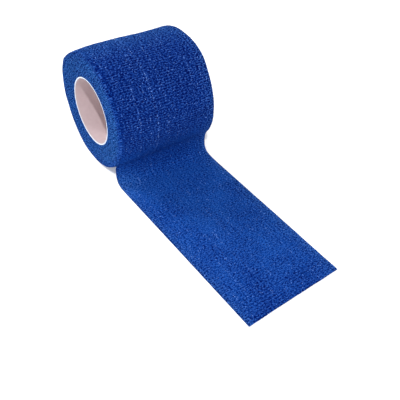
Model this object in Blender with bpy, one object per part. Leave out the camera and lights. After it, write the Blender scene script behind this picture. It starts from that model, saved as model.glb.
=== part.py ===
"""Cohesive bandage roll, 50 mm wide, lying on its side with its loose end flat on the floor.

Two solids: "core", the thin-walled tube in the middle, and "bandage", the wound body with its outer turn and
its loose end in one piece. Metres, +Z up. The roll's axis runs along X, its near end at -X, and it touches
the floor at the origin. The outer turn comes over the top, down the -Y side, and runs out along the floor
towards -Y.
"""

import bmesh
import bpy
import numpy as np

MM = 0.001

# The strip
WIDTH = 50.0
STRIP_THICK = 1.0
SKEW = np.radians(3.342)          # the loose end's run against -Y, turned towards +X
SKEW_OFFSET = -0.859              # x where the loose end's centre line would cross the roll's axis plane
END_Y_NEAR, END_Y_FAR = -115.70, -114.71
CUT_WAVE = 0.12                   # how far the free end's cut wanders
TOP_WAVE = 0.10                   # how far the loose end's upper face rises and dips
END_TROUGH_AT, END_TROUGH_DEEP, END_TROUGH_WIDE = 8.0, 0.22, 2.6

# The wound body
ROLL_RADIUS = 27.99               # to the outer face, where the outer turn leaves the roll
AXIS_HEIGHT = 27.45
TURN_STEP = 0.45                  # fall of the outer face over the turn, down to the turn below
LAST_DROP_FROM = np.radians(325)  # from here to the crotch the face falls to the full strip thickness
CROWN = 0.33
OUT_OF_ROUND = 0.10
NEAR_SHOULDER, FAR_SHOULDER = 0.40, 0.85
TURN_SHIFT = 0.50                 # how far the outer turn has crept towards the far end where it leaves
LEAVE_NEAR, LEAVE_FAR = np.radians(51.0), np.radians(57.0)   # up from the floor contact, on the -Y side
FACE_DISH = 0.25                  # how far the end faces sink between shoulder and core
RING_COUNT = 96

# The core and its clearance
BORE_RADIUS = 16.20
CORE_RADIUS = 15.90
CORE_WALL = 0.90
CORE_EDGE = 0.20
CORE_COUNT = 72

# Rows across the strip, from the near edge, and the share of the shoulder's rounding that each one takes
ROWS = [
    # distance, near share, far share
    (0.0, 1.00, 0.0), (0.4, 0.30, 0.0), (1.2, 0.0, 0.0), (3.5, 0.0, 0.0), (8.0, 0.0, 0.0), (13.0, 0.0, 0.0),
    (19.0, 0.0, 0.0), (25.0, 0.0, 0.0), (31.0, 0.0, 0.0), (37.0, 0.0, 0.0), (42.0, 0.0, 0.0),
    (46.5, 0.0, 0.0), (48.8, 0.0, 0.0), (49.6, 0.0, 0.30), (50.0, 0.0, 1.00),
]

# The strip's middle surface after it leaves the roll, seen along the axis
BEND_NEAR = [
    # y, z
    (-21.75, 7.60), (-21.95, 5.70), (-22.35, 4.00), (-23.10, 2.50), (-24.15, 1.35), (-25.70, 0.66),
    (-27.70, 0.50),
]
BEND_FAR = [
    # y, z
    (-22.85, 9.90), (-22.70, 7.60), (-22.95, 5.50), (-23.60, 3.60), (-24.80, 1.95), (-26.70, 0.85),
    (-29.20, 0.50),
]
BEND_STEPS = 3
TAIL_STATIONS = [0.03, 0.08, 0.14, 0.21, 0.28, 0.35, 0.42, 0.49, 0.56, 0.63, 0.70, 0.77, 0.83, 0.875,
                 0.90, 0.92, 0.94, 0.96, 0.985, 1.0]


def across(row_mm):
    """Place across the strip, -1 at the near edge and +1 at the far edge."""
    return row_mm / (WIDTH / 2) - 1.0


def catmull_rom(points, steps):
    """Points on the curve through all the given ones, steps to each span."""
    points = np.asarray(points, float)
    padded = np.vstack([2 * points[0] - points[1], points, 2 * points[-1] - points[-2]])
    curve = []
    for a, b, c, d in zip(padded, padded[1:], padded[2:], padded[3:]):
        for t in np.arange(steps) / steps:
            curve.append(0.5 * (2 * b + (c - a) * t + (2 * a - 5 * b + 4 * c - d) * t * t
                                + (3 * b - a - 3 * c + d) * t ** 3))
    return np.array(curve + [points[-1]])


def tail_x(y, u):
    """x on the skewed strip at a given y and place across it."""
    return SKEW_OFFSET + (WIDTH / 2 * u - y * np.sin(SKEW)) / np.cos(SKEW)


def roll_radius(turned, u, x):
    """Outer face of the roll, turned being the angle wound back from where the strip leaves."""
    fall = TURN_STEP * turned / (2 * np.pi)
    last = np.clip((turned - LAST_DROP_FROM) / (2 * np.pi - LAST_DROP_FROM), 0, 1)
    fall = fall + (STRIP_THICK - TURN_STEP) * last * last * (3 - 2 * last)
    crown = CROWN * (1 - u * u) * np.sin(turned / 2)
    uneven = OUT_OF_ROUND * np.sin(turned / 2) * np.sin(3 * turned + 0.08 * x)
    return ROLL_RADIUS - fall + crown + uneven


def ring_point(radius, angle, x):
    """A point at an angle up from the floor contact on the -Y side, pressed flat where it would go below."""
    return (x, -radius * np.sin(angle), max(AXIS_HEIGHT - radius * np.cos(angle), 0.0))


def build_loop_rows():
    """For each row across: the strip's under points, the roll's ring, and the strip's top points."""
    rows = []
    for distance, near_share, far_share in ROWS:
        u = across(distance)
        blend = (u + 1) / 2
        leave = LEAVE_NEAR * (1 - blend) + LEAVE_FAR * blend
        drop = NEAR_SHOULDER * near_share + FAR_SHOULDER * far_share
        ring = []
        for turned in np.linspace(0, 2 * np.pi, RING_COUNT + 1):
            shift = TURN_SHIFT * max(1 - turned / (2 * np.pi), np.clip((turned - LAST_DROP_FROM) / 0.6, 0, 1))
            x = WIDTH / 2 * u + shift
            soften = np.sin(min(turned, 2 * np.pi - turned, np.pi / 6) * 3)
            radius = roll_radius(turned, u, x) - drop * soften
            ring.append(ring_point(radius, leave + turned, x))
        middle = ROLL_RADIUS - STRIP_THICK / 2
        start = (-middle * np.sin(leave), AXIS_HEIGHT - middle * np.cos(leave))
        near = catmull_rom([start] + BEND_NEAR, BEND_STEPS)
        far = catmull_rom([start] + BEND_FAR, BEND_STEPS)
        bend = near * (1 - blend) + far * blend
        end_y = END_Y_NEAR * (1 - blend) + END_Y_FAR * blend + CUT_WAVE * np.sin(9 * u + 1.0)
        flat = [(bend[-1, 0] + (end_y - bend[-1, 0]) * t, STRIP_THICK / 2) for t in TAIL_STATIONS]
        line = np.vstack([bend[1:], flat])
        path = np.vstack([bend[:1], line])
        run = np.gradient(path, axis=0)[1:]
        run /= np.linalg.norm(run, axis=1)[:, None]
        normal = np.stack([run[:, 1], -run[:, 0]], axis=1)
        top = line + normal * STRIP_THICK / 2
        under = line - normal * STRIP_THICK / 2
        to_end = top[:, 0] - end_y
        away = np.clip((-top[:, 0] - 30) / 10, 0, 1)
        top[:, 1] += away * TOP_WAVE * np.sin(0.31 * top[:, 0] + 2 * u) * np.cos(0.17 * top[:, 0] - 3.1 * u)
        top[:, 1] -= END_TROUGH_DEEP * np.exp(-((to_end - END_TROUGH_AT) / END_TROUGH_WIDE) ** 2)
        under[:, 1] = np.maximum(under[:, 1], 0.0)
        shift = WIDTH / 2 * u + TURN_SHIFT
        ease = np.clip((-line[:, 0] - 22.0) / 6.0, 0, 1)
        x = shift * (1 - ease) + tail_x(line[:, 0], u) * ease
        rows.append((np.column_stack([x, under])[::-1], np.array(ring), np.column_stack([x, top])[::-1]))
    return rows


def cap_rings(ring, sign):
    """Rings on an end face, from just inside the outer turn to the bore, each of RING_COUNT points."""
    angles = np.arctan2(-ring[:-1, 1], AXIS_HEIGHT - ring[:-1, 2])
    radii = np.hypot(ring[:-1, 1], ring[:-1, 2] - AXIS_HEIGHT)
    turned = np.linspace(0, 2 * np.pi, RING_COUNT + 1)[:-1]
    last = np.clip((2 * np.pi - turned) / 0.8, 0, 1)
    inner = radii - STRIP_THICK * last
    rings = [np.array([ring_point(r, a, x) for r, a, x in zip(inner, angles, ring[:-1, 0])])]
    rings[0][0] = ring[-1]
    face = sign * WIDTH / 2
    step = np.minimum(inner, ROLL_RADIUS - 2 * STRIP_THICK) - 0.4
    for share, sink in ((0.0, 0.0), (0.45, 1.0), (1.0, 0.2)):
        radius = step * (1 - share) + BORE_RADIUS * share
        x = face - sign * sink * FACE_DISH
        rings.append(np.array([ring_point(r, a, x) for r, a in zip(radius, angles)]))
    return rings


def make_object(name, vertices, faces, color, roughness):
    mesh = bpy.data.meshes.new(name)
    mesh.from_pydata([tuple(np.asarray(v) * MM) for v in vertices], [], faces)
    shaping = bmesh.new()
    shaping.from_mesh(mesh)
    bmesh.ops.recalc_face_normals(shaping, faces=shaping.faces)
    shaping.to_mesh(mesh)
    shaping.free()
    mesh.polygons.foreach_set("use_smooth", [True] * len(mesh.polygons))
    mesh.set_sharp_from_angle(angle=np.radians(35))
    material = bpy.data.materials.new(name)
    material.use_nodes = True
    shader = material.node_tree.nodes["Principled BSDF"]
    shader.inputs["Base Color"].default_value = (*color, 1.0)
    shader.inputs["Roughness"].default_value = roughness
    mesh.materials.append(material)
    made = bpy.data.objects.new(name, mesh)
    bpy.context.scene.collection.objects.link(made)
    return made


def build_bandage():
    """The loop of each row is one closed outline of strip and roll, and the rows are skinned across the width."""
    rows = build_loop_rows()
    tail_count = len(rows[0][0])
    loop_count = 2 * tail_count + RING_COUNT + 1
    vertices = []
    for under, ring, top in rows:
        vertices += [*under, *ring[::-1], *top[::-1]]
    faces = []
    for j in range(len(rows) - 1):
        for i in range(loop_count):
            a, b = j * loop_count + i, j * loop_count + (i + 1) % loop_count
            faces.append((a, b, b + loop_count, a + loop_count))
    bores = []
    for j, sign in ((0, -1), (len(rows) - 1, 1)):
        base = j * loop_count
        ring_at = [base + tail_count + RING_COUNT - m for m in range(RING_COUNT + 1)]
        top_at = [base + loop_count - 1 - k for k in range(tail_count)] + [ring_at[0]]
        under_at = [base + k for k in range(tail_count)] + [ring_at[RING_COUNT]]
        for k in range(tail_count):
            faces.append((under_at[k], under_at[k + 1], top_at[k + 1], top_at[k]))
        outer = ring_at
        for number, points in enumerate(cap_rings(rows[j][1], sign)):
            inner = [len(vertices) + m for m in range(RING_COUNT)]
            vertices += list(points)
            if number == 0:
                inner[0] = ring_at[RING_COUNT]
                for m in range(RING_COUNT - 1):
                    faces.append((outer[m], outer[m + 1], inner[m + 1], inner[m]))
                faces.append((outer[RING_COUNT - 1], outer[RING_COUNT], inner[RING_COUNT - 1]))
            else:
                for m in range(RING_COUNT):
                    n = (m + 1) % RING_COUNT
                    faces.append((outer[m], outer[n], inner[n], inner[m]))
            outer = inner
        bores.append(outer)
    near, far = bores
    for m in range(RING_COUNT):
        n = (m + 1) % RING_COUNT
        faces.append((near[m], near[n], far[n], far[m]))
    used = sorted({i for face in faces for i in face})
    renumber = {old: new for new, old in enumerate(used)}
    vertices = [vertices[i] for i in used]
    faces = [tuple(renumber[i] for i in face) for face in faces]
    return make_object("bandage", vertices, faces, (0.022, 0.075, 0.300), 0.95)


def build_core():
    """A plain tube with eased edges, its section turned once round the axis."""
    half, inside = WIDTH / 2, CORE_RADIUS - CORE_WALL
    section = [
        # x, radius
        (-half, inside + CORE_EDGE), (-half, CORE_RADIUS - CORE_EDGE), (-half + CORE_EDGE, CORE_RADIUS),
        (half - CORE_EDGE, CORE_RADIUS), (half, CORE_RADIUS - CORE_EDGE), (half, inside + CORE_EDGE),
        (half - CORE_EDGE, inside), (-half + CORE_EDGE, inside),
    ]
    vertices, faces = [], []
    for m in range(CORE_COUNT):
        angle = 2 * np.pi * m / CORE_COUNT
        vertices += [(x, r * np.cos(angle), AXIS_HEIGHT + r * np.sin(angle)) for x, r in section]
    count = len(section)
    for m in range(CORE_COUNT):
        n = (m + 1) % CORE_COUNT
        for i in range(count):
            k = (i + 1) % count
            faces.append((m * count + i, m * count + k, n * count + k, n * count + i))
    return make_object("core", vertices, faces, (0.60, 0.50, 0.50), 0.8)


for old in list(bpy.data.objects):
    bpy.data.objects.remove(old, do_unlink=True)

build_bandage()
build_core()
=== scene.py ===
"""Cohesive bandage roll on its side, its loose end run out along the floor.

Metres throughout, except where a table's column names say mm. The roll's axis runs along X with the near
face at -X, the roll touches the floor at the origin, and the strip comes over the top, down the -Y side, and
out along the floor towards -Y.
"""

import bpy
import numpy as np
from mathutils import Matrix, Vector


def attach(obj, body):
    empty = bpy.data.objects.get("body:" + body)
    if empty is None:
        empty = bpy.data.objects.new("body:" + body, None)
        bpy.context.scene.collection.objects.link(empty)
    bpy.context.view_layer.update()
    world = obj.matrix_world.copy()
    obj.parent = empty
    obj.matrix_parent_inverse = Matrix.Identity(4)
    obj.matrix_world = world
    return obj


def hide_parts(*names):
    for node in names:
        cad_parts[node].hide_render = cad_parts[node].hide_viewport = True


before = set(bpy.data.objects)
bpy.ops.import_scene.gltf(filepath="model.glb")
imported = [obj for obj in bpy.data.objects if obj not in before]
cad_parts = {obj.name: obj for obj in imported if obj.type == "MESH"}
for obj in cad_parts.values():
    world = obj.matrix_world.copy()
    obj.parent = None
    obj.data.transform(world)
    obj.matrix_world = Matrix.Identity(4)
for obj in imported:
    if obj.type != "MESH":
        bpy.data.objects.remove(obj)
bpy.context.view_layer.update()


# Core tube
# The hollow core that the strip is wound on: paperboard rolled up in a spiral from a few plies, with a
# pinkish buff liner inside and pale cut ends. The bandage grips it from outside, and both ends are open.

AXIS_HEIGHT = 0.02745
HALF_WIDTH = 0.025
CORE_OUTSIDE, CORE_INSIDE = 0.01604, 0.01550
CORE_EASE = 0.00012               # rounding of the wall's four edges
CORE_SIDES, LINER_ROWS, EASE_STEPS = 180, 40, 5
LAP_PITCH, LAP_RISE = 0.041, 0.00005
LAP_STEP, LAP_SLOPE = 0.03, 0.5   # shares of a pitch in which the lap rises, and in which it sinks again
CUT_RADIUS = 0.016                # about the middle of the cut ends' wall
CUT_RAGGED = 0.00005              # how far the fibres stand out of the cut ends


def ring_points(x, radius, angle):
    """Points at x, at the given radius from the roll's axis and angle up from the floor side, towards -Y."""
    return np.stack([x, -radius * np.sin(angle), AXIS_HEIGHT - radius * np.cos(angle)], axis=-1)


def grid_faces(rows, columns, round_rows=False, round_columns=False, first=0):
    """Quads between neighbours on a grid numbered row by row, closed where a direction runs round."""
    i = np.arange(rows if round_rows else rows - 1)[:, None]
    j = np.arange(columns if round_columns else columns - 1)[None, :]
    i_next, j_next = (i + 1) % rows, (j + 1) % columns
    corners = [i * columns + j, i * columns + j_next, i_next * columns + j_next, i_next * columns + j]
    return first + np.stack([c.ravel() for c in corners], axis=1)


def mesh_object(name, points, faces, weave=None, **values):
    """One smooth-shaded object.

    weave is each point's flat place, across and along the strip, and becomes a UV map. Each of the values has
    one number a point and becomes an attribute of its own name.
    """
    mesh = bpy.data.meshes.new(name)
    mesh.from_pydata(points.reshape(-1, 3), [], faces if isinstance(faces, list) else faces.tolist())
    mesh.polygons.foreach_set("use_smooth", np.ones(len(mesh.polygons), bool))
    for label, value in values.items():
        mesh.attributes.new(label, "FLOAT", "POINT").data.foreach_set("value", value.ravel().astype("f4"))
    if weave is not None:
        corner = np.empty(len(mesh.loops), "i4")
        mesh.loops.foreach_get("vertex_index", corner)
        layer = mesh.uv_layers.new(name="weave")
        layer.data.foreach_set("uv", weave.reshape(-1, 2)[corner].astype("f4").ravel())
    mesh.update()
    made = bpy.data.objects.new(name, mesh)
    bpy.context.scene.collection.objects.link(made)
    return made


def smooth_noise(a, b, cell_a, cell_b, seed):
    """Random heights from -1 to 1 at the corners of cells, joined by smooth steps both ways."""
    rng = np.random.default_rng(seed)
    a, b = np.broadcast_arrays(a / cell_a, b / cell_b)
    whole_a, whole_b = np.floor(a).astype(int), np.floor(b).astype(int)
    part_a, part_b = a - whole_a, b - whole_b
    part_a, part_b = part_a * part_a * (3 - 2 * part_a), part_b * part_b * (3 - 2 * part_b)
    whole_a, whole_b = whole_a - whole_a.min(), whole_b - whole_b.min()
    heights = rng.uniform(-1, 1, (whole_a.max() + 2, whole_b.max() + 2))
    low = heights[whole_a, whole_b] * (1 - part_b) + heights[whole_a, whole_b + 1] * part_b
    high = heights[whole_a + 1, whole_b] * (1 - part_b) + heights[whole_a + 1, whole_b + 1] * part_b
    return low * (1 - part_a) + high * part_a


def new_material(name, roughness, color=None):
    """A material and its Principled shader, with the constants set on the shader's own sockets."""
    made = bpy.data.materials.new(name)
    made.use_nodes = True
    shader = made.node_tree.nodes["Principled BSDF"]
    shader.inputs["Roughness"].default_value = roughness
    if color is not None:
        shader.inputs["Base Color"].default_value = (*color, 1)
    return made, shader


def add_node(tree, kind, **settings):
    """A new node in a tree, with its settings."""
    node = tree.nodes.new(kind)
    for key, value in settings.items():
        setattr(node, key, value)
    return node


def add_bump(tree, height, shader, strength, distance):
    """Bump from a height socket into the shader's normal."""
    bump = add_node(tree, "ShaderNodeBump")
    bump.inputs["Strength"].default_value = strength
    bump.inputs["Distance"].default_value = distance
    tree.links.new(height, bump.inputs["Height"])
    tree.links.new(bump.outputs["Normal"], shader.inputs["Normal"])


# The tube's section runs round its wall: outside, near end, inside, far end. It is turned round the axis, and
# the liner's spiral lap stands proud along one helix.
half_wall = (CORE_OUTSIDE - CORE_INSIDE) / 2
section_x, section_r = [], []
for corner_x, corner_r, start in ((-1, 1, 90), (-1, -1, 180), (1, -1, 270), (1, 1, 0)):
    turn = np.radians(np.linspace(start, start + 90, EASE_STEPS))
    section_x.append(corner_x * (HALF_WIDTH - CORE_EASE) + CORE_EASE * np.cos(turn))
    section_r.append((CORE_OUTSIDE + CORE_INSIDE) / 2 + corner_r * (half_wall - CORE_EASE)
                     + CORE_EASE * np.sin(turn))
    if (corner_x, corner_r) == (-1, -1):
        liner_x = np.linspace(-HALF_WIDTH, HALF_WIDTH, LINER_ROWS + 2)[1:-1]
        section_x.append(liner_x)
        section_r.append(np.full(liner_x.shape, CORE_INSIDE))
section_x, section_r = np.concatenate(section_x), np.concatenate(section_r)
core_angle = np.linspace(0, 2 * np.pi, CORE_SIDES + 1)[:-1]
tube_x, tube_angle = np.meshgrid(section_x, core_angle)
tube_r = np.broadcast_to(section_r, tube_x.shape).copy()
inside = tube_r < CORE_INSIDE + half_wall * 0.2
lap = np.mod(tube_x / LAP_PITCH + tube_angle / (2 * np.pi), 1.0)
tube_r -= inside * LAP_RISE * np.clip(lap / LAP_STEP, 0, 1) * np.clip((1 - lap) / LAP_SLOPE, 0, 1)
ends = np.abs(tube_x) > HALF_WIDTH - 2 * CORE_EASE
ragged = smooth_noise(tube_angle * CUT_RADIUS, tube_r, 0.0011, 0.0004, 5)
tube_x += ends * np.sign(tube_x) * CUT_RAGGED * ragged
core_tube = mesh_object("core_tube", ring_points(tube_x, tube_r, tube_angle),
                        grid_faces(*tube_x.shape, round_rows=True, round_columns=True)[:, ::-1])

# Paperboard: pinkish buff with fine cloudy fibre, painted paler deep inside than near its ends as painted
# light on the inner wall's shaded part, and pale and bluish where it is cut
PAPER_DULL, PAPER_BUFF = (0.483, 0.378, 0.393), (0.508, 0.403, 0.418)
PAPER_PAINTED_LIGHT_AND_CUT = [
    # in from the ends where it starts, and where it is full, share, colour
    # painted light: the zone deep inside the bore is paler, on the wall that lies in shade
    (0.0070, 0.0130, 0.45, (0.72, 0.585, 0.59)),
    (0.00022, 0.00008, 1.0, (0.61, 0.69, 0.80)),
]
paperboard, shader = new_material("paperboard", 0.75)
tree = paperboard.node_tree
place = add_node(tree, "ShaderNodeTexCoord")
fibre = add_node(tree, "ShaderNodeTexNoise", noise_dimensions="3D")
fibre.inputs["Scale"].default_value = 500
fibre.inputs["Detail"].default_value = 3
tree.links.new(place.outputs["Object"], fibre.inputs["Vector"])
shade = add_node(tree, "ShaderNodeValToRGB")
for stop, position, color in zip(shade.color_ramp.elements, (0.35, 0.65), (PAPER_DULL, PAPER_BUFF)):
    stop.position, stop.color = position, (*color, 1)
tree.links.new(fibre.outputs["Fac"], shade.inputs["Fac"])
split = add_node(tree, "ShaderNodeSeparateXYZ")
tree.links.new(place.outputs["Object"], split.inputs["Vector"])
from_middle = add_node(tree, "ShaderNodeMath", operation="ABSOLUTE")
tree.links.new(split.outputs["X"], from_middle.inputs[0])
paper = shade.outputs["Color"]
# the first zone paints light deep inside the bore, the second is the cut ends' own colour
for starts, full, most, color in PAPER_PAINTED_LIGHT_AND_CUT:
    zone = add_node(tree, "ShaderNodeMapRange")
    zone.inputs["From Min"].default_value = HALF_WIDTH - starts
    zone.inputs["From Max"].default_value = HALF_WIDTH - full
    zone.inputs["To Max"].default_value = most
    tree.links.new(from_middle.outputs[0], zone.inputs["Value"])
    painted = add_node(tree, "ShaderNodeMix", data_type="RGBA")
    tree.links.new(zone.outputs["Result"], painted.inputs["Factor"])
    tree.links.new(paper, painted.inputs["A"])
    painted.inputs["B"].default_value = (*color, 1)
    paper = painted.outputs["Result"]
tree.links.new(paper, shader.inputs["Base Color"])
add_bump(tree, fibre.outputs["Fac"], shader, 0.12, 0.00006)
core_tube.data.materials.append(paperboard)
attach(core_tube, "root")
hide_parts("core")


# Wound turns
# The inner turns of the crepe strip, wound tight on the core. Their cut edges make the two end faces, where
# each turn stands a little proud of its neighbours or sinks behind them, and the gathers make them wavy.

TURN_PITCH = 0.00045
ROLL_RADIUS = 0.02795             # outer face where the outer turn leaves the roll
LEAVES_AT = np.radians(54)        # up from the floor side, towards -Y
STRIP_THICK = 0.00042
LAYER_GAP = 0.00006               # between core and bandage, and under the outer turn
BODY_BORE = CORE_OUTSIDE + LAYER_GAP
FLOOR_GAP = 0.0001                # the wound body's least height, and how deep the floor lies
FACE_STEPS, FACE_ANGLES, SIDE_ROWS = 80, 560, 4
FACE_RADIUS, FACE_TURN = 0.022, 0.14      # about the middle of an end face, and once round there
EDGE_DRIFT, EDGE_WAVE = 0.00016, 0.00010
TURN_GROOVE, FACE_PIT = 0.00010, 0.00016
FACE_PIT_PITCH, FACE_PIT_COLUMN = 0.0009, 0.0008
RIM_FADE, BORE_FADE = 0.0002, 0.0004      # where the relief dies away at the face's two rims
FUZZ_STARTS, FUZZ_FULL = 0.0008, 0.0038   # in from the outer turn, where the fuzz of cut edges shows
CLEAN_SIDE = np.radians(105)              # the side on which the outermost turns are free of fuzz
FACE_HAIRS = 0.75                         # share of the pale hairs on the end faces
ROW_SHARE = 0.30                          # the part of the pits that lies in wavy rows

# How far each rim stands out from its flat end: the roll is a little out of true
NEAR_RIM = [
    # degrees up from the floor side, mm
    (0, 0.10), (60, 0.0), (195, -0.25), (205, -0.40), (215, -0.20), (225, 0.47), (235, 1.10), (245, 0.84),
    (255, 0.72), (265, 0.46), (275, 0.38), (285, 0.36), (295, 0.10), (325, 0.15), (342, 0.30), (360, 0.10),
]
FAR_RIM = [
    # degrees up from the floor side, mm
    (0, -0.20), (50, 0.30), (60, 0.56), (70, 0.13), (80, 0.07), (90, -0.46), (100, -0.60), (110, -0.76),
    (125, -0.90), (133, -0.80), (142, -0.32), (150, -0.15), (160, -0.26), (170, -0.44), (180, -0.78),
    (190, -0.56), (220, -0.30), (360, -0.20),
]
# Where round the roll the turns are drawn together more or less
FACE_GATHER = [
    # degrees up from the floor side, more gathered by
    (300, 0.30), (80, -0.35), (200, 0.20),
]


def outer_radius(wound_back):
    """Outer face of the turn at an angle wound back from where the strip leaves: one pitch less a turn."""
    return ROLL_RADIUS - TURN_PITCH * wound_back / (2 * np.pi)


def gathers(along, over, pitch, column, seed):
    """Depth from 0 to 1 of the pits between the crepe's ridges, at places along and across the strip.

    Each cell of a pitch by column grid holds one pit about a jittered centre. With d1 and d2 the distances to
    the nearest two centres in cells, the pit is a smooth step of d2 - d1 times the cell's own random depth,
    so thin ridges follow the lines halfway between centres. A cosine of the place along the strip in pitches,
    shifted by smooth noise, adds a share of wavy rows.
    """
    rng = np.random.default_rng(seed)
    a, b = np.broadcast_arrays(along / pitch, over / column)
    whole_a, whole_b = np.floor(a).astype(int), np.floor(b).astype(int)
    low_a, low_b = whole_a.min() - 1, whole_b.min() - 1
    shape = (whole_a.max() - low_a + 2, whole_b.max() - low_b + 2)
    centre_a, centre_b = rng.uniform(0.28, 0.72, shape), rng.uniform(0.10, 0.90, shape)
    own_depth = rng.uniform(0.60, 1.0, shape)
    far_off = 9.0
    first, second = np.full(a.shape, far_off), np.full(a.shape, far_off)
    depth = np.zeros(a.shape)
    for next_a in (-1, 0, 1):
        for next_b in (-1, 0, 1):
            cell = whole_a - low_a + next_a, whole_b - low_b + next_b
            away = np.hypot(a - whole_a - next_a - centre_a[cell], b - whole_b - next_b - centre_b[cell])
            nearer = away < first
            second = np.where(nearer, first, np.minimum(second, away))
            depth = np.where(nearer, own_depth[cell], depth)
            first = np.where(nearer, away, first)
    step = np.clip((second - first - 0.06) / 0.40, 0, 1)
    row = 0.5 - 0.5 * np.cos(2 * np.pi * (a + 0.60 * smooth_noise(a, b, 3, 1.5, seed + 1)))
    return (1 - ROW_SHARE) * depth * step * step * (3 - 2 * step) + ROW_SHARE * row


def edge_relief(depth, wound_back, seed):
    """How far a turn's edge stands out of the end face. depth is the distance in from the outer turn.

    The turn's number and angle give one long coordinate along the spiral, so each turn drifts smoothly, its
    gathers ripple it, and a groove runs between it and the next.
    """
    turns_in = depth / TURN_PITCH
    number = np.floor(turns_in)
    run = (number + wound_back / (2 * np.pi)) * FACE_TURN
    drift = EDGE_DRIFT * (smooth_noise(run, number, 0.012, 1, seed)
                          + 0.5 * smooth_noise(run, number, 0.003, 1, seed + 1))
    wave = EDGE_WAVE * smooth_noise(run, depth, 0.0006, TURN_PITCH, seed + 2)
    groove = -TURN_GROOVE * np.cos(2 * np.pi * (turns_in - number)) ** 3
    return drift + wave + groove


def rim_out(table, angle):
    """How far a rim stands out at an angle: straight lines between the table's rows."""
    degrees, out = np.array(table).T
    return np.interp(np.mod(np.degrees(angle), 360), degrees, out / 1000)


# The body's section runs in over the near face, through the bore, out over the far face, and back under the
# outer turn. It is carried round the roll, and follows the spiral's fall.
wound_back = np.linspace(0, 2 * np.pi, FACE_ANGLES + 1)[:-1][:, None]
under_outer = outer_radius(wound_back) - STRIP_THICK - LAYER_GAP
share = np.linspace(0, 1, FACE_STEPS)[None, :]
face_r = under_outer * (1 - share) + BODY_BORE * share
face_depth = under_outer - face_r
face_fade = np.clip(face_depth / RIM_FADE, 0, 1) * np.clip((face_r - BODY_BORE) / BORE_FADE, 0, 1)
face_arc = (LEAVES_AT + wound_back) * FACE_RADIUS
near_pit = gathers(face_arc, face_depth, FACE_PIT_PITCH, FACE_PIT_COLUMN, 13)
far_pit = gathers(face_arc, face_depth, FACE_PIT_PITCH, FACE_PIT_COLUMN, 23)
near_out = edge_relief(face_depth, wound_back, 11) - FACE_PIT * near_pit
far_out = edge_relief(face_depth, wound_back, 21) - FACE_PIT * far_pit
near_x = -HALF_WIDTH - near_out * face_fade - rim_out(NEAR_RIM, LEAVES_AT + wound_back) * (1 - share)
far_x = HALF_WIDTH + far_out * face_fade + rim_out(FAR_RIM, LEAVES_AT + wound_back) * (1 - share)
back_x = np.linspace(HALF_WIDTH, -HALF_WIDTH, SIDE_ROWS + 2)[None, 1:-1] * np.ones_like(wound_back)
body_x = np.concatenate([near_x, -back_x, far_x[:, ::-1], back_x], axis=1)
body_r = np.concatenate([face_r, np.full_like(back_x, BODY_BORE), face_r[:, ::-1],
                         under_outer * np.ones_like(back_x)], axis=1)
body_angle = LEAVES_AT + wound_back * np.ones_like(body_x)
body_points = ring_points(body_x, body_r, body_angle)
body_points[..., 2] = np.maximum(body_points[..., 2], FLOOR_GAP)
body_depth = under_outer - body_r
clean = 0.5 + 0.5 * np.cos(body_angle - CLEAN_SIDE)
body_fuzz = 1 - (1 - np.clip((body_depth - FUZZ_STARTS) / (FUZZ_FULL - FUZZ_STARTS), 0, 1)) * clean
body_gather = 1 - 0.4 * body_fuzz
for degrees, more in FACE_GATHER:
    body_gather += more * np.clip(np.cos(body_angle - np.radians(degrees)), 0, 1) ** 2
hidden = np.zeros_like(back_x)
wound_turns = mesh_object(
    "wound_turns", body_points, grid_faces(*body_x.shape, round_rows=True, round_columns=True),
    weave=np.stack([body_depth + 0.5 * body_x, body_angle * FACE_RADIUS], axis=-1),
    pit=np.concatenate([near_pit, hidden, far_pit[:, ::-1], hidden], axis=1),
    gather=body_gather, fuzz=body_fuzz, hairs=np.full_like(body_fuzz, FACE_HAIRS))


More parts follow.
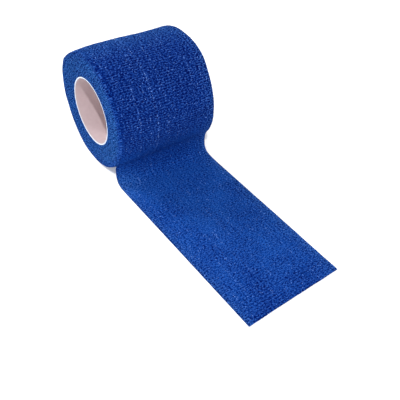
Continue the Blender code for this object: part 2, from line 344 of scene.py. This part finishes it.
def crepe_group():
    """Node group: colour and height of the crepe.

    Weave is the place on the flat strip, or in and round on an end face, and the grain is noise on it, drawn
    out across the strip. Pit is the depth of the gathers' pits, Gather how tightly the cloth is gathered,
    Fuzz how much of it is cut or frayed edges, Thread is high over an elastic thread, and Hairs how many pale
    hairs lie there. The cloth darkens by pit times gather less the grain, which is painted shade in the
    gathers' pits. Pale hairs lie over the threads and on the ridges where the grain is high, those on the
    ridges partly a painted highlight, and a few flecks are paler still. On the loose strip, Gather, Fuzz and
    Hairs also carry painted light and shade.
    """
    group = bpy.data.node_groups.new("crepe_cloth", "ShaderNodeTree")
    numbers = (("Pit", 0.0), ("Gather", 1.0), ("Fuzz", 0.0), ("Thread", 0.0), ("Hairs", 1.0), ("Grain", 1.0),
               ("Hair Amount", 0.5), ("Fleck Amount", 0.5))
    sockets = [("Weave", "NodeSocketVector", (0, 0, 0))]
    sockets += [(label, "NodeSocketFloat", default) for label, default in numbers]
    for label in ("Taut", "Gathered", "Fuzz", "Pit", "Hair", "Fleck"):
        sockets.append((label + " Colour", "NodeSocketColor", (0, 0, 0, 1)))
    for label, kind, default in sockets:
        group.interface.new_socket(label, in_out="INPUT", socket_type=kind).default_value = default
    group.interface.new_socket("Colour", in_out="OUTPUT", socket_type="NodeSocketColor")
    group.interface.new_socket("Height", in_out="OUTPUT", socket_type="NodeSocketFloat")
    given, out = add_node(group, "NodeGroupInput"), add_node(group, "NodeGroupOutput")
    link = group.links.new

    def maths(operation, *values, clamp=False):
        node = add_node(group, "ShaderNodeMath", operation=operation, use_clamp=clamp)
        for socket, value in zip(node.inputs, values):
            if isinstance(value, (int, float)):
                socket.default_value = value
            else:
                link(value, socket)
        return node.outputs[0]

    drawn = add_node(group, "ShaderNodeVectorMath", operation="MULTIPLY")
    drawn.inputs[1].default_value = (0.62, 1.25, 1)
    link(given.outputs["Weave"], drawn.inputs[0])

    def noise(scale, detail):
        node = add_node(group, "ShaderNodeTexNoise", noise_dimensions="3D")
        node.inputs["Scale"].default_value = scale
        node.inputs["Detail"].default_value = detail
        node.inputs["Roughness"].default_value = 0.6
        link(drawn.outputs["Vector"], node.inputs["Vector"])
        return maths("SUBTRACT", node.outputs["Fac"], 0.5)

    def mixed(factor, first, second):
        node = add_node(group, "ShaderNodeMix", data_type="RGBA", clamp_factor=True)
        link(factor, node.inputs["Factor"])
        link(first, node.inputs["A"])
        link(second, node.inputs["B"])
        return node.outputs["Result"]

    grain = maths("ADD", maths("MULTIPLY", noise(1900, 0), 2.2), maths("MULTIPLY", noise(4000, 0), 1.8))
    coarser = maths("ADD", maths("MULTIPLY", given.outputs["Fuzz"], 1.35), 1)
    grain = maths("MULTIPLY", grain, maths("MULTIPLY", given.outputs["Grain"], coarser))
    cloudy = noise(110, 1)
    cloth = mixed(given.outputs["Gather"], given.outputs["Taut Colour"], given.outputs["Gathered Colour"])
    cloth = mixed(given.outputs["Fuzz"], cloth, given.outputs["Fuzz Colour"])
    # painted shade in the pits, and pale hairs on the ridges, those partly a painted highlight
    sunk = maths("MULTIPLY", given.outputs["Pit"], given.outputs["Gather"])
    pit_shade_and_grain = maths("SUBTRACT", maths("MULTIPLY", sunk, 1.35), maths("MULTIPLY", grain, 1.2), clamp=True)
    pit_shade_and_grain = maths("SUBTRACT", pit_shade_and_grain, maths("MULTIPLY", cloudy, 0.3), clamp=True)
    hair = maths("MULTIPLY", maths("SUBTRACT", 0.22, sunk), 1.1)
    hair = maths("ADD", hair, maths("MULTIPLY", grain, 1.4))
    hair = maths("ADD", hair, maths("MULTIPLY", given.outputs["Thread"], 0.5), clamp=True)
    hair = maths("MULTIPLY", maths("MULTIPLY", hair, given.outputs["Hair Amount"]), given.outputs["Hairs"])
    shown = mixed(hair, mixed(pit_shade_and_grain, cloth, given.outputs["Pit Colour"]), given.outputs["Hair Colour"])

    speck = add_node(group, "ShaderNodeTexVoronoi", feature="F1")
    speck.inputs["Scale"].default_value = 2100
    link(given.outputs["Weave"], speck.inputs["Vector"])
    chosen = add_node(group, "ShaderNodeSeparateColor")
    link(speck.outputs["Color"], chosen.inputs["Color"])
    near_speck = maths("LESS_THAN", speck.outputs["Distance"], 0.46)
    likely = maths("ADD", chosen.outputs["Red"], maths("MULTIPLY", given.outputs["Thread"], 0.42))
    is_pale = maths("GREATER_THAN", likely, 0.993)
    flecks = maths("MULTIPLY", maths("MULTIPLY", near_speck, is_pale), given.outputs["Hairs"])
    flecks = maths("MULTIPLY", flecks, given.outputs["Fleck Amount"])
    link(mixed(flecks, shown, given.outputs["Fleck Colour"]), out.inputs["Colour"])
    link(maths("SUBTRACT", maths("MULTIPLY", grain, 0.6), maths("MULTIPLY", sunk, 0.5)), out.inputs["Height"])
    return group


# The crepe's finish: dull blue cloth, nearly no shine, with the group's pattern and a fibrous bump
crepe, shader = new_material("crepe", 0.95)
shader.inputs["Specular IOR Level"].default_value = 0.02
tree = crepe.node_tree
finish = add_node(tree, "ShaderNodeGroup", node_tree=crepe_group())
flat_strip = add_node(tree, "ShaderNodeUVMap", uv_map="weave")
tree.links.new(flat_strip.outputs["UV"], finish.inputs["Weave"])
for label in ("pit", "gather", "fuzz", "thread", "hairs"):
    value = add_node(tree, "ShaderNodeAttribute", attribute_name=label)
    tree.links.new(value.outputs["Fac"], finish.inputs[label.capitalize()])
# Gathered is darker than Taut, and Pit darker still, as painted shade of the gathers' own hollows
for label, color in (
    ("Taut", (0.0025, 0.070, 0.380)), ("Gathered", (0.0024, 0.038, 0.268)), ("Fuzz", (0.0055, 0.084, 0.322)),
    ("Pit", (0.0002, 0.0045, 0.082)), ("Hair", (0.061, 0.160, 0.498)), ("Fleck", (0.18, 0.36, 0.92)),
):
    finish.inputs[label + " Colour"].default_value = (*color, 1)
for label, amount in (("Grain", 1.0), ("Hair Amount", 0.72), ("Fleck Amount", 0.75)):
    finish.inputs[label].default_value = amount
tree.links.new(finish.outputs["Colour"], shader.inputs["Base Color"])
add_bump(tree, finish.outputs["Height"], shader, 0.8, 0.00014)
wound_turns.data.materials.append(crepe)
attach(wound_turns, "root")
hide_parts("bandage")


# Outer turn and loose end
# The last turn of the strip and its loose end, in one piece: non-woven cloth gathered into small pits between
# elastic threads that run along it. It clings to the roll, peels off low towards -Y, and lies on the floor.

SKEW = np.radians(3.342)          # the loose end's run against -Y, turned towards +X
SKEW_OFFSET = -0.000859           # x where its centre line, run back, would meet the plane y = 0
SKEW_FROM = -0.0235               # y beyond which its edges run askew
END_Y_NEAR, END_Y_FAR = -0.11570, -0.11475
LEAVE_NEAR, LEAVE_MIDDLE, LEAVE_FAR = np.radians([57.5, 60.0, 63.0])   # up from the floor side
TURN_SHIFT = 0.00054              # how far the outer turn has crept towards the far end where it leaves
HIDDEN_LAP = np.radians(26)       # how far it runs on under itself
TURN_EASE = 0.012                 # in which the outer turn's crown and shoulders fade at both its ends
NEAR_SHOULDER, NEAR_REACH = 0.0008, 0.0006   # how far its edges dip, and how far in the dips reach
FAR_SHOULDER, FAR_REACH = 0.0007, 0.0008
RUB_SHOULDER, RUB_REACH = 0.0003, 0.004      # and the near edge more where it is rubbed
TAIL_HEIGHT = 0.00046             # of the loose end's upper face before its relief
LEAST_HEIGHT = STRIP_THICK * 0.6  # of its upper face with the relief
UNDER_HEIGHT = 0.00002            # of its underside, at the least
PAST_CUT = 0.001                  # how far the edge lines run on past the cut
ACROSS_COUNT = 93
ALONG_STEP = 0.00031
UNDER_SHARE = 8                   # upper rows to each row of the underside
PLEAT_PITCH = 0.00120             # from one pit to the next along the strip where it is gathered
PLEAT_COLUMN = 0.00190            # and across it
PIT_DEPTH = 0.00026
PIT_LEVEL = 0.3                   # the depth of pit, from 0 to 1, that leaves the upper face where it was
TAIL_STRETCH, STRETCH_RUN = 0.12, 0.020   # the loose end's gathers are drawn out by this share in this run
THREAD_WIDE = 0.00030

# The strip's upper face where it bends, seen along the axis
BEND_NEAR = [
    # y, z, mm
    (-22.62, 10.95), (-22.12, 9.70), (-21.98, 8.40), (-22.03, 7.20), (-22.20, 5.90), (-22.50, 4.40),
    (-23.05, 3.00), (-23.85, 1.75), (-25.10, 0.90), (-27.00, 0.52),
]
BEND_FAR = [
    # y, z, mm
    (-24.00, 13.10), (-23.35, 11.60), (-23.08, 10.20), (-23.02, 8.60), (-23.08, 6.90), (-23.40, 5.20),
    (-24.00, 3.60), (-25.10, 2.10), (-26.80, 1.15), (-29.00, 0.68), (-31.80, 0.50),
]
# The outer turn's swell across its width
CROWN = [
    # mm across the strip, mm up
    (0, 0.0), (3.5, 0.05), (7, 0.30), (11, 0.46), (18, 0.48), (25, 0.37), (35.5, 0.12), (39.5, 0.14),
    (46, 0.34), (50, 0.60),
]
# The scissor cut's unevenness
CUT_EDGE = [
    # mm across the strip, mm out
    (0, 0.0), (4, 0.10), (7.5, 0.20), (13, 0.15), (19, 0.22), (22, 0.18), (25, 0.10), (28, 0.08), (31, -0.06),
    (36, -0.10), (40, 0.02), (45, -0.05), (50, 0.0),
]
# Elastic threads that show as rows of pale specks
THREADS = [
    # mm across the strip, strength
    (4.6, 0.4), (9.8, 0.5), (14.8, 0.5), (18.4, 1.0), (24.2, 0.6), (29.6, 0.4), (34.5, 0.35), (40.2, 0.4),
    (45.5, 0.3),
]
# How gathered the strip is along its length, and so how much painted shade its gathers get, least on the
# loose end. Where it leaves the roll the shares dip further as painted light, lifting the shade below the
# roll's bulge and in the crease.
GATHERED_AND_PAINTED_LIGHT = [
    # mm from where it leaves the roll, share
    (-150, 0.95), (-82, 0.85), (-61, 0.94), (-48, 1.0), (-26, 1.0), (-20, 0.96), (-13, 0.87), (-8, 0.68),
    (-2, 0.38), (4, 0.60), (10, 0.58), (18, 0.38), (35, 0.32), (56, 0.36), (80, 0.42), (120, 0.46),
]
# How much of the pits' own relief is left, and of the pale hairs, which thin out where the strip leaves
# the roll as painted shade in the crease
RELIEF = [
    # mm from where it leaves the roll, share
    (-16, 1.0), (-6, 0.85), (0, 0.60), (8, 0.70), (22, 1.0),
]
HAIRS_AND_CREASE_SHADE = [
    # mm from where it leaves the roll, share
    (-16, 1.0), (-10, 0.75), (-4, 0.48), (6, 0.46), (20, 0.55), (50, 0.72),
]
# How rubbed and frayed the outer turn is behind the roll's top; its paler frayed colour there is also a
# painted sheen along the roll's top edge
RUBBED_AND_TOP_SHEEN = [
    # mm from the roll's top, share
    (-22, 1.0), (-9.8, 0.72), (-5, 0.48), (0, 0.28), (5, 0.06), (10, 0.0),
]


def through(points, steps):
    """The Catmull-Rom curve through all the points, steps to each span."""
    padded = np.vstack([2 * points[0] - points[1], points, 2 * points[-1] - points[-2]])
    t = (np.arange(steps) / steps)[:, None, None]
    a, b, c, d = padded[:-3], padded[1:-2], padded[2:-1], padded[3:]
    curve = 0.5 * (2 * b + (c - a) * t + (2 * a - 5 * b + 4 * c - d) * t ** 2
                   + (3 * b - a - 3 * c + d) * t ** 3)
    return np.vstack([curve.transpose(1, 0, 2).reshape(-1, points.shape[1]), points[-1:]])


def edge_line(side, leave, bend, end_y):
    """One edge of the strip, its length from the roll's top at each point, and that length at the cut end.

    It starts under the outer turn, one whole turn and the hidden lap before it leaves, goes round the roll,
    through the bend and along the floor, and runs on past the cut. A smooth curve joins a few points of the
    roll's last stretch, the bend and the floor's first points.
    """
    round_count, floor_count, span_steps = 700, 40, 12
    blend_count, blend_stride, follow_count = 40, 13, 4
    angle = np.linspace(LEAVES_AT + 2 * np.pi + HIDDEN_LAP, leave, round_count)
    wound = angle - LEAVES_AT
    x = side * (HALF_WIDTH + rim_out(FAR_RIM if side > 0 else NEAR_RIM, angle))
    x = x + TURN_SHIFT * np.clip(1 - wound / (2 * np.pi), 0, 1)
    roll = ring_points(x, outer_radius(wound), angle)

    def on_floor_run(y, z):
        x = SKEW_OFFSET + (side * HALF_WIDTH - np.minimum(y, SKEW_FROM) * np.sin(SKEW)) / np.cos(SKEW)
        return np.stack([x, y, z], axis=1)

    y, z = np.array(bend).T / 1000
    flat_y = np.linspace(y[-1], end_y - PAST_CUT, floor_count)[1:]
    drop = on_floor_run(y, z)
    flat = on_floor_run(flat_y, np.full(flat_y.shape, TAIL_HEIGHT))
    lead, follow = roll[-blend_count::blend_stride], flat[:follow_count]
    smooth = through(np.vstack([lead, drop, follow]), span_steps)
    line = np.vstack([roll[:-blend_count], smooth, flat[follow_count:]])
    length = np.concatenate([[0], np.cumsum(np.linalg.norm(np.diff(line, axis=0), axis=1))])
    top = np.interp(-np.pi, -angle[:-blend_count], length[:round_count - blend_count])
    return line, length - top, length[-1] - top - PAST_CUT / np.cos(SKEW)


def read_off(table, place):
    """A table's second column at places in metres: straight lines between rows, whose places are in mm."""
    places, values = np.array(table).T
    return np.interp(place, places / 1000, values)


def hump(place, middle, reach):
    """A bell: e to the minus square of the distance from the middle, counted in reaches."""
    return np.exp(-((place - middle) / reach) ** 2)


def rise(place, start, run):
    """0 up to the start, 1 from one run beyond it, and a straight line between."""
    return np.clip((place - start) / run, 0, 1)


def edge_fade(distance, reach):
    """1 at an edge, and a factor of e less for each reach away from it."""
    return np.exp(-distance / reach)


# The upper face before its relief: straight lines across, from edge line to edge line. s is the length from
# the roll's top, past the length from where it leaves the roll, and t the distance across from the near edge.
near_line, near_s, near_cut_s = edge_line(-1, LEAVE_NEAR, BEND_NEAR, END_Y_NEAR)
far_line, far_s, far_cut_s = edge_line(1, LEAVE_FAR, BEND_FAR, END_Y_FAR)
start_s = max(near_s[0], far_s[0])
along_count = UNDER_SHARE * int(round((near_cut_s - start_s) / ALONG_STEP / UNDER_SHARE)) + 1
across = np.linspace(0, 1, ACROSS_COUNT)[None, :]
t = across * 2 * HALF_WIDTH
from_far = 2 * HALF_WIDTH - t
end_s = near_cut_s * (1 - across) + far_cut_s * across + read_off(CUT_EDGE, t) / 1000
s = start_s + (end_s - start_s) * np.linspace(0, 1, along_count)[:, None]
past = s - ROLL_RADIUS * (np.pi - LEAVE_MIDDLE)
near_at = np.stack([np.interp(s, near_s, near_line[:, k]) for k in range(3)], axis=-1)
far_at = np.stack([np.interp(s, far_s, far_line[:, k]) for k in range(3)], axis=-1)
strip = near_at * (1 - across[..., None]) + far_at * across[..., None]
along_dir, across_dir = np.gradient(strip, axis=0), np.gradient(strip, axis=1)
outward = np.cross(across_dir, along_dir)
outward /= -np.linalg.norm(outward, axis=-1, keepdims=True)

# How gathered it is, and so how much painted shade its gathers get: besides the table, drawn tighter at the
# cut and on the loose end's near side, and patchy on the whole loose end. Where its near edge bends it is
# made slacker, paler and hairier as a painted highlight.
on_tail = rise(past, -0.004, 0.026)
# the outer turn's near edge: flatter pits, and fewer pale hairs as painted shade on its shoulder
near_rim_flat_and_shaded = hump(t, 0, 0.0012) * (1 - on_tail)
near_cut = rise(s - end_s, -0.022, 0.022)
# painted highlight on the near edge where it bends: slacker, paler, hairier
painted_bend_highlight = hump(t, 0.003, 0.0080) * hump(past, 0.0145, 0.0065)
near_side = hump(t, 0.012, 0.008) * rise(past, 0.022, 0.012)
patchy = 0.17 * smooth_noise(s, t, 0.011, 0.009, 51) + 0.13 * smooth_noise(s, t, 0.0048, 0.0042, 52)
# the table's dip where the strip leaves the roll is painted light; more gather is painted shade
gather = read_off(GATHERED_AND_PAINTED_LIGHT, past) + 0.25 * near_cut - 0.5 * painted_bend_highlight + 0.15 * near_side + patchy * on_tail
gather = np.clip(gather, 0, 1.25)

# The pits, drawn out on the loose end, and shallower near the bend and on the outer turn's near rim
past_bend = np.clip(past + 0.006, 0, None)
drawn_out = np.where(past_bend < STRETCH_RUN, past_bend ** 2 / (2 * STRETCH_RUN), past_bend - STRETCH_RUN / 2)
pit = gathers(s - TAIL_STRETCH * drawn_out, t + 0.0006 * smooth_noise(s, t, 0.006, 0.006, 41),
              PLEAT_PITCH, PLEAT_COLUMN, 42)
relief = read_off(RELIEF, past)
pit = pit * relief + 0.50 * (1 - relief)
pit = pit * (1 - 0.6 * near_rim_flat_and_shaded) + 0.42 * near_rim_flat_and_shaded

# Pale hairs and fraying, both thicker along the two long edges, and the elastic threads. The pale hairs thin
# out as painted shade in the crease where the strip leaves the roll and on the outer turn's near rim, the
# fraying behind the roll's top is partly a painted sheen, and the bend's painted highlight adds to both.
# partly painted sheen: the paler fraying along the roll's top edge
rubbed_and_sheen = read_off(RUBBED_AND_TOP_SHEEN, s)
hairs = read_off(HAIRS_AND_CREASE_SHADE, past) * (1 - 0.6 * near_rim_flat_and_shaded) + 0.4 * painted_bend_highlight
hairs += 0.7 * on_tail * edge_fade(t, 0.0022) + 0.8 * edge_fade(from_far, 0.0025)
frayed = rubbed_and_sheen + 0.25 * painted_bend_highlight + 0.45 * edge_fade(from_far, 0.0025) + 0.4 * on_tail * edge_fade(t, 0.0015)
frayed = np.clip(frayed, 0, 1)
thread = sum(strength * hump(t, place / 1000, THREAD_WIDE) for place, strength in THREADS)
thread = thread * np.clip(0.55 + 0.9 * smooth_noise(s, t, 0.007, 0.004, 48), 0, 1)

# The two faces: crown and shoulders where it is wound, a little unevenness, and the pits in the upper one
on_turn = rise(-past, 0, TURN_EASE) * rise(s - start_s, ROLL_RADIUS * HIDDEN_LAP, TURN_EASE)
shoulder = NEAR_SHOULDER * edge_fade(t, NEAR_REACH) + FAR_SHOULDER * edge_fade(from_far, FAR_REACH)
shoulder = shoulder + RUB_SHOULDER * rubbed_and_sheen * edge_fade(t, RUB_REACH)
uneven = 0.00010 * smooth_noise(s, t, 0.012, 0.009, 45) + 0.00004 * smooth_noise(s, t, 0.004, 0.003, 46)
lift = (read_off(CROWN, t) / 1000 - shoulder) * on_turn + uneven
top_face = strip + outward * (lift - PIT_DEPTH * gather * (pit - PIT_LEVEL))[..., None]
top_face[..., 2] = np.maximum(top_face[..., 2], LEAST_HEIGHT * (on_tail > 0))
under_face = (strip + outward * (lift - STRIP_THICK)[..., None])[::UNDER_SHARE]
under_face[..., 2] = np.maximum(under_face[..., 2], UNDER_HEIGHT)

# Faces: both sides, the two ends, and along each edge a fan from every row of the underside to its upper rows
top_count = along_count * ACROSS_COUNT
under_rows = under_face.shape[0]
top_faces = grid_faces(along_count, ACROSS_COUNT)[:, ::-1]
under_faces = grid_faces(under_rows, ACROSS_COUNT, first=top_count)
column = np.arange(ACROSS_COUNT - 1)
first_top, last_top = column, (along_count - 1) * ACROSS_COUNT + column
first_under, last_under = top_count + column, top_count + (under_rows - 1) * ACROSS_COUNT + column
end_faces = np.concatenate([
    np.stack([first_top, first_top + 1, first_under + 1, first_under], axis=1),
    np.stack([last_top + 1, last_top, last_under, last_under + 1], axis=1),
])
row = np.arange(under_rows - 1)
half = UNDER_SHARE // 2
side_faces = []
for edge, turn_round in ((0, False), (ACROSS_COUNT - 1, True)):
    over = [(UNDER_SHARE * row + k) * ACROSS_COUNT + edge for k in range(UNDER_SHARE + 1)]
    below, below_next = (top_count + (row + k) * ACROSS_COUNT + edge for k in (0, 1))
    fans = [(over[k], over[k + 1], below) for k in range(half)] + [(over[half], below_next, below)]
    fans += [(over[k], over[k + 1], below_next) for k in range(half, UNDER_SHARE)]
    side_faces += [np.stack([a, c, b] if turn_round else [a, b, c], axis=1) for a, b, c in fans]
quads, triangles = np.concatenate([top_faces, under_faces, end_faces]), np.concatenate(side_faces)


def both_faces(values):
    """One value per point for the upper face's rows and then the underside's, which has fewer rows."""
    item_shape = values.shape[2:]
    return np.concatenate([rows.reshape(-1, *item_shape) for rows in (values, values[::UNDER_SHARE])])


bandage_strip = mesh_object(
    "bandage_strip", np.concatenate([top_face.reshape(-1, 3), under_face.reshape(-1, 3)]),
    quads.tolist() + triangles.tolist(), weave=both_faces(np.stack(np.broadcast_arrays(t, s), axis=-1)),
    pit=both_faces(pit), gather=both_faces(gather), thread=both_faces(thread), hairs=both_faces(hairs),
    fuzz=both_faces(frayed))
bandage_strip.data.materials.append(crepe)
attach(bandage_strip, "root")
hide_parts("bandage")


# Floor, light and camera
# A plain pale floor under the roll, a small key overhead that leans to the front left, a weak side fill, a
# back light on the near end's side, an even white surround, and a camera where the photographer's stood.

FLOOR_HALF = 1.5
LAMPS = [
    # name, where it hangs as a direction from the origin, distance, size, watts
    ("key", (-0.282, -0.468, 0.837), 1.1, 0.035, 5.8),
    ("side_fill", (-0.78, -0.54, 0.32), 1.0, 0.30, 1.3),
    ("back_light", (-0.45, 0.72, 0.53), 1.0, 0.40, 7.0),
]

floor_corners = FLOOR_HALF * np.array([[-1, -1], [1, -1], [1, 1], [-1, 1]])
floor = mesh_object("floor", np.column_stack([floor_corners, np.full(4, -FLOOR_GAP)]), [[0, 1, 2, 3]])
pale, pale_shader = new_material("pale_floor", 0.9, (0.90, 0.90, 0.90))
pale_shader.inputs["Emission Color"].default_value = (1, 1, 1, 1)
pale_shader.inputs["Emission Strength"].default_value = 0.25
floor.data.materials.append(pale)

surround = bpy.data.worlds.new("surround")
surround.use_nodes = True
background = surround.node_tree.nodes["Background"]
background.inputs["Color"].default_value = (1, 1, 1, 1)
background.inputs["Strength"].default_value = 0.60
bpy.context.scene.world = surround

for name, hangs, distance, size, watts in LAMPS:
    light = bpy.data.lights.new(name, "AREA")
    light.shape, light.size, light.energy = "DISK", size, watts
    lamp = bpy.data.objects.new(name, light)
    lamp.location = np.array(hangs) * distance
    lamp.rotation_mode = "QUATERNION"
    lamp.rotation_quaternion = Vector(hangs).to_track_quat("Z", "Y")
    bpy.context.scene.collection.objects.link(lamp)

lens = bpy.data.cameras.new("camera")
lens.lens, lens.sensor_width = 47.108, 36.0
lens.clip_start = 0.01
camera = bpy.data.objects.new("camera", lens)
camera.location = (-0.107951, -0.179202, 0.177284)
camera.rotation_euler = np.radians([43.512, -5.335, -35.4419])
bpy.context.scene.collection.objects.link(camera)
bpy.context.scene.camera = camera
bpy.context.scene.view_settings.view_transform = "Standard"
